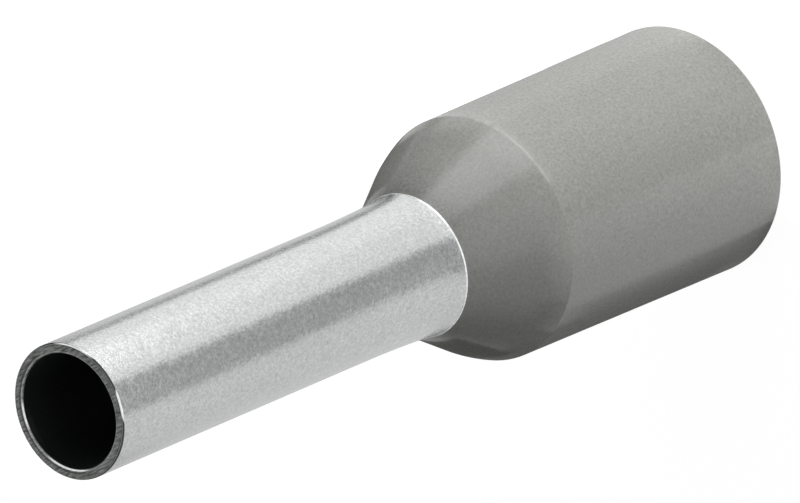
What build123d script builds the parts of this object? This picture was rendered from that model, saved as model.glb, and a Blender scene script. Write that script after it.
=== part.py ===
# Insulated wire ferrule, in millimetres.
# A thin tinned copper sleeve is held by its flared end in a moulded plastic collar.
# The origin is the centre of the collar's rear face, and +Z runs along the axis to the sleeve's tip.

import os
from math import cos, radians, sin, tan

from build123d import *

# Metal sleeve
conductor_bore = 2.8           # inside diameter, for the bare strands
sleeve_wall = 0.2              # thickness of the drawn tube
exposed_length = 12.0          # metal that stands out of the collar
root_growth = 0.07             # how much the radius grows where the sleeve meets the collar
root_flare_length = 2.6        # length of sleeve over which it grows
tip_roll = 0.07                # how far the cut turns the bore's edge inward
tip_roll_length = 0.25         # length of the bore that the cut turns inward
cut_edge_rounding = 0.4        # of the wall, at the tip's outer edge and the rim's two edges

# Funnel at the sleeve's hidden end
funnel_half_angle = 30.0       # from the axis, in degrees
rim_setback = 0.12             # room between the rim and the collar's bore
funnel_bend = 0.3              # radius of the outer bend between neck and funnel

# Plastic collar
collar_length = 9.87           # rear face to mouth
insulation_bore = 4.95         # inside diameter, for the wire's insulation
collar_wall = 0.49             # thickness at the rear
collar_draft = 0.07            # how much the radius shrinks from the rear to the crease
neck_length = 0.85             # length of the collar that hugs the sleeve
lip_thickness = 0.03           # plastic left at the mouth
shoulder_half_angle = 28.7     # of the cone that ends at the mouth, in degrees
crease_half_angle = 18.0       # of the shoulder where it starts, in degrees
shoulder_curve = 4.46          # radius of the curve between those two slopes
crease_rounding = 0.06         # outer edge where tube and shoulder meet
rear_rounding = 0.17           # of the wall, at the rear face's outer edge
entry_rounding = 0.42          # of the wall, at the rear face's inner edge, where the wire goes in
seat_blend = 0.3               # radius of the corner between seat and bore
lip_rounding = 0.4             # of the lip, at its outer edge

# Fit of the collar on the sleeve
fit_clearance = 0.015          # gap between plastic and metal at the neck and the seat

# Places that both pieces share
mouth_height = collar_length
tip_height = mouth_height + exposed_length
sleeve_bore_radius = conductor_bore / 2
tip_radius = sleeve_bore_radius + sleeve_wall
neck_radius = tip_radius + root_growth
neck_end_height = mouth_height - neck_length
insulation_radius = insulation_bore / 2


def round_corner(corner, radius):
    """Round the corner of the open sketch that stands at a point."""
    fillet(vertices().sort_by_distance(corner)[0], radius)


# Metal sleeve: its half section is turned about the axis.
# The funnel runs beside the seat at the fit's gap, so its bend stands a little lower than the seat's.
funnel_angle = radians(funnel_half_angle)
funnel_rim_radius = insulation_radius - rim_setback
bend_height = neck_end_height - fit_clearance * tan(funnel_angle / 2)
funnel_height = (funnel_rim_radius - neck_radius) / tan(funnel_angle)
inner_bend_height = bend_height - sleeve_wall * tan(funnel_angle / 2)
neck_bore_radius = neck_radius - sleeve_wall
flare_height = mouth_height + root_flare_length

tip_outer = (tip_radius, tip_height)
flare_outer = (tip_radius, flare_height)
mouth_outer = (neck_radius, mouth_height)
bend_outer = (neck_radius, bend_height)
rim_outer = (funnel_rim_radius, bend_height - funnel_height)
rim_inner = (
    rim_outer[0] - sleeve_wall * cos(funnel_angle),
    rim_outer[1] - sleeve_wall * sin(funnel_angle),
)
bend_inner = (neck_bore_radius, inner_bend_height)
mouth_inner = (neck_bore_radius, mouth_height)
flare_inner = (sleeve_bore_radius, flare_height)
roll_start = (sleeve_bore_radius, tip_height - tip_roll_length)
tip_inner = (sleeve_bore_radius - tip_roll, tip_height)

with BuildPart() as metal_sleeve:
    with BuildSketch(Plane.XZ):
        with BuildLine():
            Polyline(flare_inner, roll_start, tip_inner, tip_outer, flare_outer)
            TangentArc(flare_outer, mouth_outer, tangent=(0, -1))
            Polyline(mouth_outer, bend_outer, rim_outer, rim_inner, bend_inner, mouth_inner)
            TangentArc(flare_inner, mouth_inner, tangent=(0, -1))
        make_face()
        round_corner(bend_outer, funnel_bend)
        round_corner(bend_inner, funnel_bend + sleeve_wall)
        for cut_edge in (rim_outer, rim_inner, tip_outer):
            round_corner(cut_edge, cut_edge_rounding * sleeve_wall)
    revolve(axis=Axis.Z)

metal_sleeve.part.label = "metal_sleeve"


# Plastic collar: its half section is turned about the axis.
# Outside, the shoulder's curve leaves the crease at one slope and turns into the cone's slope.
shoulder_turn = shoulder_half_angle - crease_half_angle
shoulder_angle = radians(shoulder_half_angle)
crease_angle = radians(crease_half_angle)
rear_radius = insulation_radius + collar_wall
crease_radius = rear_radius - collar_draft
collar_neck_radius = neck_radius + fit_clearance
mouth_radius = collar_neck_radius + lip_thickness
curve_width = shoulder_curve * (cos(crease_angle) - cos(shoulder_angle))
curve_height = shoulder_curve * (sin(shoulder_angle) - sin(crease_angle))
cone_height = (crease_radius - curve_width - mouth_radius) / tan(shoulder_angle)
crease_height = mouth_height - cone_height - curve_height
seat_height = (insulation_radius - collar_neck_radius) / tan(funnel_angle)

rear_outer = (rear_radius, 0)
rear_inner = (insulation_radius, 0)
crease = (crease_radius, crease_height)
mouth_edge = (mouth_radius, mouth_height)
mouth_bore = (collar_neck_radius, mouth_height)
seat_top = (collar_neck_radius, neck_end_height)
seat_foot = (insulation_radius, neck_end_height - seat_height)

with BuildPart() as plastic_collar:
    with BuildSketch(Plane.XZ):
        with BuildLine():
            Line(rear_outer, crease)
            curve = JernArc(crease, (-sin(crease_angle), cos(crease_angle)), shoulder_curve, shoulder_turn)
            Polyline(curve @ 1, mouth_edge, mouth_bore, seat_top, seat_foot, rear_inner, rear_outer)
        make_face()
        round_corner(crease, crease_rounding)
        round_corner(mouth_edge, lip_rounding * lip_thickness)
        round_corner(seat_top, funnel_bend - fit_clearance)
        round_corner(seat_foot, seat_blend)
        round_corner(rear_inner, entry_rounding * collar_wall)
        round_corner(rear_outer, rear_rounding * collar_wall)
    revolve(axis=Axis.Z)

plastic_collar.part.label = "plastic_collar"


os.makedirs("parts", exist_ok=True)
export_step(metal_sleeve.part, "parts/metal_sleeve.step")
export_step(plastic_collar.part, "parts/plastic_collar.step")
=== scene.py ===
"""Insulated wire ferrule: a tinned sleeve in a grey plastic collar, on a pale studio floor.

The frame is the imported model's: the origin is the centre of the collar's rear face, and +Z runs
along the axis to the sleeve's tip. Blender's lengths are metres, and MM turns millimetres into them.
"""
from math import cos, pi, radians, sin, tan

import bpy
import numpy as np
from bpy.props import FloatProperty, FloatVectorProperty, PointerProperty
from mathutils import Matrix, Vector


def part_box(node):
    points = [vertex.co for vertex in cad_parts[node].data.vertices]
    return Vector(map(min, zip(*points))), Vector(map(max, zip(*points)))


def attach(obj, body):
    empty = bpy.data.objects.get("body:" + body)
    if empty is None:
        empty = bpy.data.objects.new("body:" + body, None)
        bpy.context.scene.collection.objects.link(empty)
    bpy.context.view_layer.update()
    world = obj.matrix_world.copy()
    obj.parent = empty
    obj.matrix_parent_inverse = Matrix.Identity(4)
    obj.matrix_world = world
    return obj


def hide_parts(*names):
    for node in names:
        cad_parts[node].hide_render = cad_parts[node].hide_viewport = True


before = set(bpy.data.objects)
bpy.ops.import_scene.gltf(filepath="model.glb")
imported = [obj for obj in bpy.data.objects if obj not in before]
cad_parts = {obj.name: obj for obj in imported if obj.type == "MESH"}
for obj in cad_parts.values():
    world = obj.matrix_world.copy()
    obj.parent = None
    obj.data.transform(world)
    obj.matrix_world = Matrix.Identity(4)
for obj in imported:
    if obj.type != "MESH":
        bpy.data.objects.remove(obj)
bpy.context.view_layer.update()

bl_info = {
    "name": "Insulated wire ferrule",
    "version": (1, 0, 0),
    "blender": (4, 5, 0),
    "location": "3D View > Sidebar > Wire ferrule",
    "description": "Builds a tinned sleeve, its plastic collar and a small studio",
    "category": "Mesh",
}

MM = 0.001
TIP_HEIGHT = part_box("metal_sleeve")[1].z
MOUTH_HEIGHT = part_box("plastic_collar")[1].z


# Shader writing

class Signal:
    """A node's output socket that can stand in sums: each operator adds its Math node."""

    def __init__(self, socket):
        self.socket = socket

    def math(self, operation, *operands, clamp=False):
        nodes = Nodes(self.socket.id_data)
        settings = {"operation": operation, "use_clamp": clamp}
        return nodes.add("ShaderNodeMath", settings, dict(enumerate(operands)))

    def __add__(self, other):
        return self.math("ADD", self, other)

    __radd__ = __add__

    def __sub__(self, other):
        return self.math("SUBTRACT", self, other)

    def __rsub__(self, other):
        return self.math("SUBTRACT", other, self)

    def __mul__(self, other):
        return self.math("MULTIPLY", self, other)

    __rmul__ = __mul__

    def __truediv__(self, other):
        return self.math("DIVIDE", self, other)

    def __pow__(self, other):
        return self.math("POWER", self, other)

    def clamped(self):
        return self.math("ADD", self, 0.0, clamp=True)

    def maximum(self, other):
        return self.math("MAXIMUM", self, other)

    def band(self, low, high):
        """0 below low, 1 above high and straight between them, either way round."""
        return ((self - low) / (high - low)).clamped()


class Nodes:
    """A node tree with one way to add to it."""

    def __init__(self, tree):
        self.tree = tree

    def add(self, kind, settings=None, values=None, output=0):
        """Adds a node, applies its settings, then gives its sockets their values or links."""
        node = self.tree.nodes.new(kind)
        for name, value in (settings or {}).items():
            setattr(node, name, value)
        for key, value in (values or {}).items():
            if isinstance(value, Signal):
                self.tree.links.new(value.socket, node.inputs[key])
            else:
                node.inputs[key].default_value = value
        return Signal(node.outputs[output]) if node.outputs else node

    def object_place(self):
        return self.add("ShaderNodeTexCoord", output="Object")

    def looked_at(self):
        """1 for rays from the camera, off mirrors or through glass, and 0 for those that only light."""
        outputs = self.add("ShaderNodeLightPath").socket.node.outputs
        camera, glossy, through = (
            Signal(outputs[name]) for name in ("Is Camera Ray", "Is Glossy Ray", "Is Transmission Ray"))
        return camera.maximum(glossy).maximum(through)

    def parts(self, vector):
        """The x, y and z of a vector, each as a signal."""
        node = self.add("ShaderNodeSeparateXYZ", None, {0: vector}).socket.node
        return [Signal(socket) for socket in node.outputs]

    def attribute(self, name):
        return self.add("ShaderNodeAttribute", {"attribute_name": name}, output="Fac")

    def stretched(self, place, scale, rotation=(0, 0, 0)):
        values = {"Vector": place, "Rotation": rotation, "Scale": scale}
        return self.add("ShaderNodeMapping", None, values)

    def noise(self, place, grain, detail, roughness):
        """Noise whose lumps are about grain metres across."""
        values = {"Vector": place, "Scale": 1 / grain, "Detail": detail, "Roughness": roughness}
        return self.add("ShaderNodeTexNoise", None, values, output="Fac")

    def mix(self, factor, first, second, blend="MIX"):
        settings = {"data_type": "RGBA", "blend_type": blend}
        return self.add("ShaderNodeMix", settings, {0: factor, 6: first, 7: second}, output=2)

    def shaded(self, colour, tone):
        """A colour times a signal that is near 1."""
        grey = self.add("ShaderNodeCombineColor", None, {0: tone, 1: tone, 2: tone})
        return self.mix(1.0, colour, grey, "MULTIPLY")

    def bump(self, height, distance):
        values = {"Height": height, "Distance": distance, "Strength": 1.0}
        return self.add("ShaderNodeBump", None, values)

    def surface(self, values):
        shader = self.add("ShaderNodeBsdfPrincipled", None, values)
        self.add("ShaderNodeOutputMaterial", None, {"Surface": shader})


def new_material(name):
    """An empty material and the Nodes of its tree."""
    material = bpy.data.materials.new(name)
    material.use_nodes = True
    material.node_tree.nodes.clear()
    return material, Nodes(material.node_tree)


def opaque(colour):
    return (*colour, 1.0)


# Surfaces

SPACING = 0.25 * MM     # between the points of a straight run
MARGIN = 0.02 * MM      # from the end of a straight run to its first point
ARC_STEPS = 8           # of a rounding


def rounded_outline(corners):
    """Closed outline through corners (radius, height, rounding), with its outward normals.

    The corners run with the material on their left. A rounding of radius q in a corner that turns by
    t starts q * tan(t / 2) before the corner and ends as far after it. Its points stand at distance q
    from the arc's centre, which is q to the side of where the arc starts. A straight run between two
    roundings has a point at a small margin from each end and others between them, evenly spaced.
    """
    table = np.array(corners, float)
    points, rounding = table[:, :2], table[:, 2]
    before = points - np.roll(points, 1, axis=0)
    heading = np.arctan2(before[:, 1], before[:, 0])
    turn = (np.roll(heading, -1) - heading + pi) % (2 * pi) - pi
    reach = rounding * np.tan(np.abs(turn) / 2)
    places, headings = [], []
    for index, corner in enumerate(points):
        along = np.array([cos(heading[index]), sin(heading[index])])
        start = corner - along * reach[index]
        previous = points[index - 1]
        leave = previous + along * reach[index - 1]
        length = np.linalg.norm(start - leave)
        if length > 3 * MARGIN:
            count = max(2, round(length / SPACING) + 1)
            reached = np.linspace(MARGIN, length - MARGIN, count)[:, None]
            places.append(leave + along * reached)
            headings.append(np.full(count, heading[index]))
        if rounding[index] == 0:
            places.append(corner[None, :])
            headings.append(np.array([heading[index] + turn[index] / 2]))
            continue
        side = np.sign(turn[index]) * rounding[index]
        centre = start + side * np.array([-along[1], along[0]])
        headed = heading[index] + turn[index] * np.linspace(0, 1, ARC_STEPS + 1)
        places.append(centre + side * np.stack([np.sin(headed), -np.cos(headed)], axis=1))
        headings.append(headed)
    headings = np.concatenate(headings)
    normals = np.stack([np.sin(headings), -np.cos(headings)], axis=1)
    return np.concatenate(places), normals


def turned_piece(name, outline, normals, segments, attributes, material):
    """Mesh of revolution: the point (r, z) of the outline at angle t stands at (r cos t, r sin t, z).

    Both directions of the grid close on themselves, so the surface is a ring without seams or poles.
    The normal (n, m) of the outline turns into (n cos t, n sin t, m) and is set on the vertices.
    """
    angle = np.linspace(0, 2 * pi, segments, endpoint=False)
    ring = np.stack([np.cos(angle), np.sin(angle)], axis=1)

    def turned(pairs):
        flat = pairs[:, None, :1] * ring[None]
        height = np.broadcast_to(pairs[:, None, 1:], flat.shape[:2] + (1,))
        return np.concatenate([flat, height], axis=2).reshape(-1, 3)

    rows, columns = len(outline), segments
    here = np.arange(rows * columns).reshape(rows, columns)
    beside = np.roll(here, -1, axis=1)
    above = np.roll(here, -1, axis=0)
    quads = np.stack([here, beside, np.roll(above, -1, axis=1), above], axis=2).reshape(-1, 4)
    mesh = new_mesh(name, turned(outline), quads)
    for key, values in attributes.items():
        layer = mesh.attributes.new(key, "FLOAT", "POINT")
        layer.data.foreach_set("value", np.repeat(values, columns).astype(np.float32))
    mesh.normals_split_custom_set_from_vertices(turned(normals))
    return new_object(name, mesh, material)


def new_mesh(name, vertices, quads):
    mesh = bpy.data.meshes.new(name)
    mesh.from_pydata(vertices, [], quads)
    mesh.polygons.foreach_set("use_smooth", np.ones(len(quads), bool))
    mesh.update()
    return mesh


def new_object(name, mesh, material):
    mesh.materials.append(material)
    thing = bpy.data.objects.new(name, mesh)
    bpy.context.scene.collection.objects.link(thing)
    return thing


# Fixed sizes of the two pieces. Edges, bends and blends are the radii of their roundings.

SEAT_SLOPE = radians(30)    # of the funnel and of the collar's seat, from the axis

SLEEVE_SEGMENTS = 288
SWELLING_STEPS = 36
LIP_SWELLINGS = ((0.03 * MM, 0.45 * MM), (0.014 * MM, 0.03 * MM))   # growth and length of each
MOUTH_TO_BEND = 0.854 * MM
OUTER_BEND, INNER_BEND, RIM_EDGE = 0.3 * MM, 0.5 * MM, 0.08 * MM
TIP_TURN = 0.07 * MM        # how far the cut turns the bore's edge in
TIP_TURN_LENGTH, TIP_TURN_BLEND = 0.25 * MM, 0.3 * MM
TIP_OUTER_EDGE, TIP_INNER_EDGE = 0.045 * MM, 0.065 * MM

COLLAR_SEGMENTS = 320
CURVE_STEPS = 13
COLLAR_DRAFT = 0.07 * MM    # how much the radius shrinks from the rear to the crease
SHOULDER_CURVE = 4.46 * MM  # radius of the curve between the shoulder's two slopes
CREASE_SLOPE, CONE_SLOPE = radians(18), radians(28.7)   # where the shoulder starts and ends
LIP_RADIUS, NECK_RADIUS = 1.715 * MM, 1.685 * MM        # outside and inside at the mouth
MOUTH_TO_SEAT = 0.85 * MM
ENTRY_EDGE, REAR_EDGE, CREASE_EDGE, LIP_EDGE = 0.2 * MM, 0.082 * MM, 0.06 * MM, 0.012 * MM
SEAT_BEND, SEAT_BLEND = 0.285 * MM, 0.3 * MM            # at the seat's top and at its foot


# Settings

class SleeveSettings(bpy.types.PropertyGroup):
    bore: FloatProperty(
        name="Bore", description="Inside diameter of the tube", default=2.8 * MM, unit="LENGTH")
    wall: FloatProperty(
        name="Wall", description="Thickness of the tube", default=0.2 * MM, unit="LENGTH")
    mouth: FloatProperty(
        name="Mouth height", description="Height at which the tube leaves the collar",
        default=MOUTH_HEIGHT, unit="LENGTH")
    tip: FloatProperty(
        name="Tip height", description="Height of the tube's cut end",
        default=TIP_HEIGHT, unit="LENGTH")
    root_growth: FloatProperty(
        name="Root growth", description="How much the radius grows where the tube meets the collar",
        default=0.07 * MM, unit="LENGTH")
    root_length: FloatProperty(
        name="Root length", description="Length of tube over which it grows",
        default=2.6 * MM, unit="LENGTH")
    rim_radius: FloatProperty(
        name="Rim radius", description="Radius of the funnel's rim before its edges are rounded",
        default=2.355 * MM, unit="LENGTH")
    tin: FloatVectorProperty(
        name="Tin", description="Colour of the tin plating", subtype="COLOR", size=3,
        min=0, max=1, default=(0.76, 0.77, 0.77))
    cut_metal: FloatVectorProperty(
        name="Cut metal", description="Colour of the bare cut at the tip", subtype="COLOR", size=3,
        min=0, max=1, default=(0.14, 0.145, 0.14))


class CollarSettings(bpy.types.PropertyGroup):
    length: FloatProperty(
        name="Length", description="Rear face to mouth", default=MOUTH_HEIGHT, unit="LENGTH")
    rear_radius: FloatProperty(
        name="Rear radius", description="Outside radius at the rear face",
        default=2.965 * MM, unit="LENGTH")
    insulation_bore: FloatProperty(
        name="Insulation bore", description="Inside diameter for the wire's insulation",
        default=4.95 * MM, unit="LENGTH")
    plastic: FloatVectorProperty(
        name="Plastic", description="Colour of the moulding", subtype="COLOR", size=3,
        min=0, max=1, default=(0.38, 0.382, 0.36))


class StudioSettings(bpy.types.PropertyGroup):
    view_elevation: FloatProperty(
        name="View elevation", description="Height of the camera's line of sight over the floor",
        default=radians(46.33), subtype="ANGLE", unit="ROTATION")
    view_roll: FloatProperty(
        name="View roll", description="Turn that lays the upright part down to the left in the picture",
        default=radians(23.105), subtype="ANGLE", unit="ROTATION")
    view_width: FloatProperty(
        name="View width", description="Width of what the picture takes in at the part",
        default=18.176 * MM, unit="LENGTH")
    floor: FloatVectorProperty(
        name="Floor", description="Colour of the floor", subtype="COLOR", size=3,
        min=0, max=1, default=(0.9, 0.9, 0.9))


# Materials

def direction(angle):
    """Unit direction in the floor at an angle that is 0 at +X and grows towards -Y, the near side."""
    return Vector((cos(angle), -sin(angle), 0))


def towards(degrees, x, y):
    """How far a point stands out from the axis in such a direction."""
    way = direction(radians(degrees))
    return x * way.x + y * way.y


def tin_material(tin, cut_metal):
    """Matte tin: soft reflections broken up by fine grain, specks and cloudy patches.

    The attribute cut is 1 on the sheared end, and edge is 1 on its two roundings. They are as dull as
    the cut but for painted glints, shiny tin kept at fixed directions: two on the outer one, and two
    on the inner one along a faint line. The cut has torn streaks, and painted shade in dark lines
    along its outer edge and the far half of its inner edge. The attribute bore is 1 inside the tube,
    which is painted near black, dull and not metallic, as shade.
    """
    material, nodes = new_material("matte tin plating")
    place = nodes.object_place()
    cut, edge, bore = (nodes.attribute(name) for name in ("cut", "edge", "bore"))
    grain = nodes.noise(place, 0.06 * MM, 1, 0.5).band(0.25, 0.75)
    speck = nodes.noise(place, 0.12 * MM, 2, 0.6).band(0.3, 0.7)
    cloud = nodes.noise(place, 0.42 * MM, 2, 0.6)
    tone = 0.77 + 0.20 * grain + 0.11 * speck + 0.09 * cloud
    shiny = nodes.shaded(opaque(tin), tone)
    streaks = nodes.stretched(place, (1, 0.16, 1), rotation=(0, 0, 0.6))
    shear = nodes.noise(streaks, 0.045 * MM, 2, 0.6)
    x, y, _ = nodes.parts(place)
    radius = (x * x + y * y) ** 0.5
    # Painted glints: the edges keep the shiny tin colour at fixed directions, two on the outer rounding
    # and two on the inner one, along a faint line
    outer = towards(35, x, y).band(1.47 * MM, 1.55 * MM)
    outer = outer.maximum(towards(102, x, y).band(1.545 * MM, 1.565 * MM))
    inner = 0.15 * towards(250, x, y).band(0.3 * MM, 1.1 * MM)
    for angle, fades, full in ((283, 0.96, 0.992), (212, 0.88, 0.95)):
        inner = inner.maximum((towards(angle, x, y) / radius).band(fades, full))
    glints = outer.maximum(inner * radius.band(1.47 * MM, 1.43 * MM))
    dull = cut.maximum(edge * (1 - glints))
    # Painted shade: the cut is darker along its outer edge and along a thin ring on the far half of its
    # inner edge, which has no groove in its shape
    painted_groove_shade = (1 - ((radius - 1.435 * MM) / (0.03 * MM)) ** 2).clamped() * y.band(0, 0.5 * MM)
    painted_shade_lines = radius.band(1.53 * MM, 1.57 * MM).maximum(painted_groove_shade)
    torn = shear.band(0.36, 0.64) * (1 - 0.9 * painted_shade_lines)
    dark, light = (opaque([c * share for c in cut_metal]) for share in (0.35, 1.5))
    sheared = nodes.mix(torn, dark, light)
    colour = nodes.mix(dull, shiny, sheared)
    # Painted shade: inside the tube the colour is near black, and the surface is neither metallic nor
    # shiny
    colour = nodes.mix(bore, colour, opaque((0.004, 0.005, 0.005)))
    height = 0.5 * grain + 0.8 * speck + 1.2 * cut * shear
    nodes.surface({
        "Base Color": colour,
        "Metallic": 1 - bore,
        "Roughness": 0.20 + 0.06 * speck + 0.3 * dull.maximum(bore),
        "Normal": nodes.bump(height, 0.002 * MM),
    })
    return material


def plastic_material(plastic):
    """Fine-grained moulded plastic with a cloudy tone.

    The attribute crease is 1 on the edge between tube and shoulder, which carries a painted
    highlight, broken up in places, on one side. Next to that stretch the shoulder has a strip of
    painted light beside the crease, and towards the mouth its +X half is darker with painted shade.
    """
    material, nodes = new_material("moulded grey plastic")
    place = nodes.object_place()
    crease = nodes.attribute("crease")
    grain = nodes.noise(place, 0.065 * MM, 2, 0.6)
    mottle = nodes.noise(place, 0.2 * MM, 2, 0.5)
    cloud = nodes.noise(nodes.stretched(place, (1, 1, 0.3)), 0.7 * MM, 3, 0.55)
    x, y, z = nodes.parts(place)
    past_crease = z.band(7.53 * MM, 7.57 * MM)
    # Painted light: the shoulder is lighter in a strip beside the crease on the near side
    painted_light_strip = past_crease * towards(117, x, y).band(2.60 * MM, 2.86 * MM)
    # Painted shade: the shoulder gets darker towards the mouth on its +X half
    painted_mouth_shade = z.band(8.7 * MM, 9.8 * MM) * x.band(-1.2 * MM, 0.8 * MM)
    tone = 0.575 + 0.70 * grain + 0.06 * mottle + 0.09 * cloud
    tone = tone + 0.22 * painted_light_strip - 0.12 * painted_mouth_shade - 0.25 * painted_mouth_shade ** 3
    plain = nodes.shaded(opaque(plastic), tone)
    # Painted highlight: a broken light line on the crease's rounding, on one side only
    highlight_breakup = nodes.noise(place, 0.3 * MM, 3, 0.6).band(0.3, 0.5)
    painted_crease_highlight = 0.5 * crease * towards(56, x, y).band(2.58 * MM, 2.70 * MM) * highlight_breakup
    colour = nodes.mix(painted_crease_highlight, plain, opaque((0.72, 0.72, 0.70)))
    nodes.surface({
        "Base Color": colour,
        "Roughness": 0.19 + 0.1 * grain,
        "Normal": nodes.bump(grain, 0.0015 * MM),
    })
    return material


# Operators

class FERRULE_OT_sleeve(bpy.types.Operator):
    """Build the tinned sleeve: cut tip, straight tube, flared root and the hidden funnel"""
    bl_idname = "ferrule.sleeve"
    bl_label = "Build sleeve"

    def execute(self, context):
        """The outline runs up the outside and down the bore.

        Towards the collar the radius grows by three swellings. Each grows with the square of the
        distance below its top: a long one over the root, a short one, and a tiny one onto the lip.
        The bore follows the long one alone.
        """
        own = context.scene.ferrule_sleeve
        bore, wall = own.bore / 2, own.wall
        outside = bore + wall
        neck = outside + own.root_growth
        bend = own.mouth - MOUTH_TO_BEND
        rise = own.root_length * np.linspace(0, 1, SWELLING_STEPS) ** 2

        def swelling(size, length):
            return size * np.clip(1 - rise / length, 0, 1) ** 2

        growth = swelling(own.root_growth, own.root_length)
        outer_growth = growth + sum(swelling(*pair) for pair in LIP_SWELLINGS)
        across, down = wall * cos(SEAT_SLOPE), wall * sin(SEAT_SLOPE)
        rim_foot = bend - (own.rim_radius - neck) / tan(SEAT_SLOPE)
        below_mouth = own.mouth - 0.04 * MM
        corners = [
            (own.rim_radius - across, rim_foot - down, RIM_EDGE),
            (own.rim_radius, rim_foot, RIM_EDGE),
            (neck, bend, OUTER_BEND),
            (neck, below_mouth, 0),
        ]
        corners += [(outside + g, own.mouth + h, 0) for g, h in zip(outer_growth, rise)]
        corners += [
            (outside, own.tip, TIP_OUTER_EDGE),
            (bore - TIP_TURN, own.tip, TIP_INNER_EDGE),
            (bore, own.tip - TIP_TURN_LENGTH, TIP_TURN_BLEND),
        ]
        corners += [(bore + g, own.mouth + h, 0) for g, h in zip(growth[::-1], rise[::-1])]
        corners.append((neck - wall, bend - wall * tan(SEAT_SLOPE / 2), INNER_BEND))
        outline, normals = rounded_outline(corners)
        radius, height = outline.T
        outward, upward = normals.T
        # The cut looks straight up, its edges slant, and the bore below them looks at the axis
        below_tip = own.tip - height
        attributes = {
            "cut": (upward > 0.97).astype(float),
            "edge": (np.abs(upward - 0.5) < 0.47) * (below_tip < 0.08 * MM).astype(float),
            # bore marks the inside of the tube below the tip, which the tin material paints near black
            # as shade
            "bore": (outward < -0.5) * np.clip((below_tip - 0.03 * MM) / (0.01 * MM), 0, 1),
        }
        material = tin_material(own.tin, own.cut_metal)
        sleeve = turned_piece(
            "tinned_sleeve", outline, normals, SLEEVE_SEGMENTS, attributes, material)
        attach(sleeve, "root")
        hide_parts("metal_sleeve")
        return {"FINISHED"}


class FERRULE_OT_collar(bpy.types.Operator):
    """Build the plastic collar: tube, crease, curved shoulder, thin lip, conical seat and bore"""
    bl_idname = "ferrule.collar"
    bl_label = "Build collar"

    def execute(self, context):
        """The outline runs up the outside, over the lip and down the bore.

        The shoulder leaves the crease at one slope from the axis, c, and turns on a circle of radius
        R into the cone's slope. At slope s the circle stands R (cos c - cos s) further in and
        R (sin s - sin c) higher than the crease.
        """
        own = context.scene.ferrule_collar
        rear, mouth = own.rear_radius, own.length
        bore = own.insulation_bore / 2
        crease = rear - COLLAR_DRAFT
        slope = np.linspace(CREASE_SLOPE, CONE_SLOPE, CURVE_STEPS)
        inward = SHOULDER_CURVE * (cos(CREASE_SLOPE) - np.cos(slope))
        rise = SHOULDER_CURVE * (np.sin(slope) - sin(CREASE_SLOPE))
        crease_height = mouth - (crease - inward[-1] - LIP_RADIUS) / tan(CONE_SLOPE) - rise[-1]
        seat_top = mouth - MOUTH_TO_SEAT
        seat_foot = seat_top - (bore - NECK_RADIUS) / tan(SEAT_SLOPE)
        corners = [(bore, 0, ENTRY_EDGE), (rear, 0, REAR_EDGE), (crease, crease_height, CREASE_EDGE)]
        corners += [(crease - i, crease_height + r, 0) for i, r in zip(inward[1:], rise[1:])]
        corners += [
            (LIP_RADIUS, mouth, LIP_EDGE),
            (NECK_RADIUS, mouth, 0),
            (NECK_RADIUS, seat_top, SEAT_BEND),
            (bore, seat_foot, SEAT_BLEND),
        ]
        outline, normals = rounded_outline(corners)
        radius, height = outline.T
        # The painted highlight line is full on the crease's rounding and fades out just past its two
        # ends
        away = np.hypot(radius - crease, height - crease_height)
        attributes = {"crease": np.clip(1.6 - away / (0.022 * MM), 0, 1)}
        material = plastic_material(own.plastic)
        collar = turned_piece(
            "moulded_collar", outline, normals, COLLAR_SEGMENTS, attributes, material)
        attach(collar, "root")
        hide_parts("plastic_collar")
        return {"FINISHED"}


# Studio. Its tables are in degrees, with 0 at +X and 90 at the near side, and in millimetres.

# Angle, distance out, height up, width, height, radiance
LAMPS = {
    "key_soft_box": (35, 30, 8, 25, 16, 2.5),
    "front_soft_box": (98, 117, 25, 118, 85, 0.5),
    "back_soft_box": (270, 45, 10, 20, 18, 8),
}
# Radius, foot and top of the wall that mirrors the card, the angles where the card starts and stops
# at that foot, those at that top, brightness
MIRRORED_CARDS = {
    "side_foot_card": (1.6, 9.4, 12.5, -12, 16, -10, 20.5, 0.69),
    "side_card": (1.6, 12.5, 24, -10, 20.5, -6, 24.5, 0.69),
    "slot_foot_card": (1.6, 9.4, 12.5, 16, 23, 20.5, 28, 0.30),
    "slot_card": (1.6, 12.5, 30, 20.5, 28, 26.5, 29.5, 0.20),
    "light_foot_card": (1.6, 9.4, 12.5, 23, 58, 28, 58, 0.95),
    "light_card": (1.6, 12.5, 30, 28, 58, 29.5, 58, 0.95),
    "soft_card": (1.6, 9.4, 30, 58, 81, 58, 84, 0.86),
    "dark_card": (1.6, 9.4, 30, 81, 102.5, 84, 107, 0.375),
    "dark_edge_card": (1.6, 9.4, 30, 102.5, 106, 107, 111.5, 0.32),
    "grey_card": (1.6, 9.4, 30, 106, 146, 111.5, 146, 0.66),
    "grey_end_card": (1.6, 9.4, 24, 146, 177, 146, 177, 0.67),
    "collar_left_card": (2.93, 0.1, 7.6, -8, 40, 0, 40, 0.50),
    "collar_middle_card": (2.93, 0.1, 7.6, 40, 100, 40, 100, 0.20),
    "collar_right_card": (2.93, 0.1, 7.6, 100, 140, 100, 144, 0.95),
    "collar_dark_card": (2.93, 0.1, 7.6, 140, 180, 144, 180, 0.22),
}
# Start, stop, brightness of the dark surroundings that only mirrors see
SURROUND_CARDS = {
    "left_surround": (-100, 12, 0.15),
    "right_surround": (165, 248, 0.20),
}
# Start, stop, inner and outer radius, brightness of the panels that light from below
PANELS = {
    "far_panel": (-75, -45, 3.0, 14, 2.4),
    "left_panel": (-15, 45, 3.0, 45, 2.0),
    "front_panel": (45, 105, 3.0, 45, 1.3),
    "right_panel": (105, 135, 3.0, 45, 1.1),
}
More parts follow.
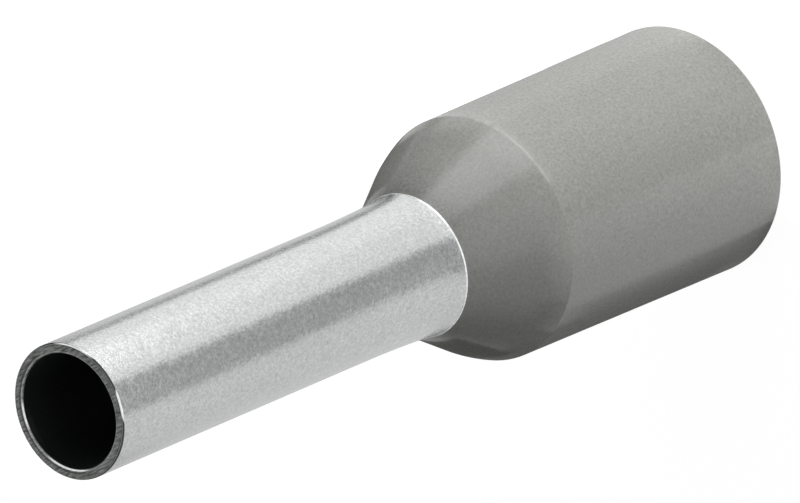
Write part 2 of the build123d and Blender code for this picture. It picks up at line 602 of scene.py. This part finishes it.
# Start, stop, foot's radius and height, top's radius and height, brightness of the dark cards that
# stand behind the collar's two outlines
FLAGS = {
    "left_flag": (-95, -26, 3.4, 0.05, 3.4, 7.8, 0.10),
    "right_flag": (165, 275, 3.4, 0.05, 3.4, 7.8, 0.14),
    "left_shoulder_flag": (-50, -2, 2.99, 7.75, 2.09, 9.4, 0.03),
    "right_shoulder_flag": (182, 230, 2.99, 7.75, 2.09, 9.4, 0.02),
}
CARD_STEPS = 13         # points along a card's curved sides
SURROUND_RADII = (13, 140)
SURROUND_HEIGHT, CARD_HEIGHT, PANEL_HEIGHT = 0.01 * MM, 0.02 * MM, 0.04 * MM
FLOOR_HALF = 150 * MM
AIR = 0.10              # the world's light on the part
GLOW = 0.95             # the floor's brightness where it is looked at or mirrored
SHADE = 0.22            # share of the floor's own shading that is added to that glow
LENS, SENSOR = 1040, 36
AIM = Vector((0.388, 0, 9.972)) * MM    # where the camera's line of sight passes the axis


def add_lamp(name, angle, out, up, width, height, radiance):
    """Soft box of an even radiance that looks at the middle of the part.

    Its centre stands out from the axis in the direction of the angle and up from the floor.
    """
    light = bpy.data.lights.new(name, "AREA")
    light.shape, light.size, light.size_y = "RECTANGLE", width, height
    light.energy = radiance * pi * width * height
    lamp = bpy.data.objects.new(name, light)
    bpy.context.scene.collection.objects.link(lamp)
    place = direction(angle) * out + Vector((0, 0, up))
    turn = (place - Vector((0, 0, TIP_HEIGHT / 2))).to_track_quat("Z", "Y").to_matrix().to_4x4()
    lamp.matrix_world = Matrix.Translation(place) @ turn
    lamp.visible_camera = False


def add_mirrored_card(name, lengths, low_angles, high_angles, brightness, sight):
    """Card just above the floor, where the near side's view of the part mirrors it.

    A wall of the given radius at angle a mirrors the floor in direction 2a - 90 degrees. From height
    h the mirrored place is h / tan(elevation of the line of sight) away from the wall. The card runs
    between two angles for the wall's foot and between two others for its top.
    """
    radius, low, high = (length * MM for length in lengths)
    (low_start, low_stop), (high_start, high_stop) = low_angles, high_angles
    share = np.linspace(0, 1, CARD_STEPS)[:, None]
    angle = np.radians(np.hstack([
        low_start + (low_stop - low_start) * share,
        high_start + (high_stop - high_start) * share,
    ]))
    reach = np.array([low, high])[None, :] / tan(sight)
    mirrored = 2 * angle - pi / 2
    x = radius * np.cos(angle) + reach * np.cos(mirrored)
    y = -radius * np.sin(angle) - reach * np.sin(mirrored)
    card = add_glowing(name, x, y, CARD_HEIGHT, brightness)
    card.visible_diffuse = False


def add_ring_sector(name, angles, radii, heights, brightness):
    """Glowing card bent round the axis: at angle a its two sides stand at (r cos a, -r sin a).

    Between two radii at one height it lies flat, and between two heights it is a band or a cone.
    """
    angle = np.radians(np.linspace(*angles, CARD_STEPS))[:, None]
    radius = np.array(radii)[None, :] * MM
    return add_glowing(name, radius * np.cos(angle), -radius * np.sin(angle), heights, brightness)


def add_glowing(name, x, y, height, brightness):
    """Stage mesh on a grid of two columns. It glows evenly, casts no shadow and is never seen itself."""
    vertices = np.stack([x, y, np.broadcast_to(height, x.shape)], axis=2).reshape(-1, 3)
    here = np.arange(x.size).reshape(x.shape)
    quads = np.stack([here[:-1, 0], here[:-1, 1], here[1:, 1], here[1:, 0]], axis=1)
    material, nodes = new_material(name)
    glow = nodes.add("ShaderNodeEmission", None, {"Color": opaque((1, 1, 1)), "Strength": brightness})
    nodes.add("ShaderNodeOutputMaterial", None, {"Surface": glow})
    thing = new_object(name, new_mesh(name, vertices, quads), material)
    thing.visible_camera = thing.visible_shadow = False
    thing.visible_transmission = thing.visible_volume_scatter = False
    return thing


class FERRULE_OT_studio(bpy.types.Operator):
    """Build the studio: floor, lamps, cards that the part mirrors, panels that light it, and camera"""
    bl_idname = "ferrule.studio"
    bl_label = "Build studio"

    def execute(self, context):
        own = context.scene.ferrule_studio
        self.add_floor(own.floor)
        self.light_world()
        for name, (angle, *lengths, radiance) in LAMPS.items():
            add_lamp(name, radians(angle), *(length * MM for length in lengths), radiance)
        for name, row in MIRRORED_CARDS.items():
            add_mirrored_card(name, row[:3], row[3:5], row[5:7], row[7], own.view_elevation)
        for name, (*angles, brightness) in SURROUND_CARDS.items():
            card = add_ring_sector(name, angles, SURROUND_RADII, SURROUND_HEIGHT, brightness)
            card.visible_diffuse = False
        for name, (*angles, inner, outer, brightness) in PANELS.items():
            panel = add_ring_sector(name, angles, (inner, outer), PANEL_HEIGHT, brightness)
            panel.visible_glossy = False
        for name, (*angles, foot, low, top, high, brightness) in FLAGS.items():
            flag = add_ring_sector(name, angles, (foot, top), (low * MM, high * MM), brightness)
            flag.visible_diffuse = False
        self.add_camera(own)
        context.scene.view_settings.view_transform = "Standard"
        return {"FINISHED"}

    def add_floor(self, colour):
        """A plain square. The camera and mirrors see it glow white, with a faint shadow of the part."""
        half = FLOOR_HALF
        vertices = [(-half, -half, 0), (half, -half, 0), (half, half, 0), (-half, half, 0)]
        material, nodes = new_material("pale floor")
        seen = nodes.looked_at()
        matte = nodes.add("ShaderNodeBsdfDiffuse", None, {"Color": opaque(colour)})
        dim = nodes.add("ShaderNodeBsdfDiffuse", None, {"Color": opaque([c * SHADE for c in colour])})
        glow = nodes.add("ShaderNodeEmission", None, {"Color": opaque((1, 1, 1)), "Strength": GLOW})
        white = nodes.add("ShaderNodeAddShader", None, {0: glow, 1: dim})
        shown = nodes.add("ShaderNodeMixShader", None, {0: seen, 1: matte, 2: white})
        nodes.add("ShaderNodeOutputMaterial", None, {"Surface": shown})
        floor = new_object("pale_floor", new_mesh("pale_floor", vertices, [(0, 1, 2, 3)]), material)

    def light_world(self):
        """White where it is looked at or mirrored, and for all other rays a weak even light."""
        world = bpy.data.worlds.new("studio air")
        bpy.context.scene.world = world
        world.use_nodes = True
        world.node_tree.nodes.clear()
        nodes = Nodes(world.node_tree)
        white = nodes.add("ShaderNodeBackground", None, {"Color": opaque((1, 1, 1)), "Strength": 1.0})
        soft = nodes.add("ShaderNodeBackground", None, {"Color": opaque((1, 1, 1)), "Strength": AIR})
        shown = nodes.add("ShaderNodeMixShader", None, {0: nodes.looked_at(), 1: soft, 2: white})
        nodes.add("ShaderNodeOutputWorld", None, {"Surface": shown})

    def add_camera(self, own):
        """Long lens on the near side. Its line of sight passes through a point close to the axis."""
        data = bpy.data.cameras.new("camera")
        data.lens, data.sensor_width = LENS, SENSOR
        elevation, roll = own.view_elevation, own.view_roll
        left, near, up = Vector((1, 0, 0)), Vector((0, -1, 0)), Vector((0, 0, 1))
        sight = near * cos(elevation) + up * sin(elevation)
        tilted = near * sin(elevation) - up * cos(elevation)
        right_axis = tilted * cos(roll) - left * sin(roll)
        up_axis = left * cos(roll) + tilted * sin(roll)
        distance = LENS / SENSOR * own.view_width
        data.clip_start, data.clip_end = distance / 100, distance * 10
        camera = bpy.data.objects.new("camera", data)
        bpy.context.scene.collection.objects.link(camera)
        turn = Matrix((right_axis, up_axis, sight)).transposed().to_4x4()
        camera.matrix_world = Matrix.Translation(AIM + sight * distance) @ turn
        bpy.context.scene.camera = camera


class FERRULE_PT_sidebar(bpy.types.Panel):
    """Sizes, colours and build buttons of the ferrule"""
    bl_idname = "FERRULE_PT_sidebar"
    bl_label = "Wire ferrule"
    bl_space_type = "VIEW_3D"
    bl_region_type = "UI"
    bl_category = "Wire ferrule"

    def draw(self, context):
        layout = self.layout
        scene = context.scene
        for group, operator in (
            (scene.ferrule_sleeve, FERRULE_OT_sleeve),
            (scene.ferrule_collar, FERRULE_OT_collar),
            (scene.ferrule_studio, FERRULE_OT_studio),
        ):
            box = layout.box()
            for key in group.__annotations__:
                box.prop(group, key)
            box.operator(operator.bl_idname)


CLASSES = (
    SleeveSettings, CollarSettings, StudioSettings,
    FERRULE_OT_sleeve, FERRULE_OT_collar, FERRULE_OT_studio, FERRULE_PT_sidebar,
)
GROUPS = {
    "ferrule_sleeve": SleeveSettings,
    "ferrule_collar": CollarSettings,
    "ferrule_studio": StudioSettings,
}


def register():
    for cls in CLASSES:
        bpy.utils.register_class(cls)
    for name, group in GROUPS.items():
        setattr(bpy.types.Scene, name, PointerProperty(type=group))


def unregister():
    for name in GROUPS:
        delattr(bpy.types.Scene, name)
    for cls in reversed(CLASSES):
        bpy.utils.unregister_class(cls)


def main():
    register()
    bpy.ops.ferrule.sleeve()
    bpy.ops.ferrule.collar()
    bpy.ops.ferrule.studio()


if __name__ == "__main__":
    main()
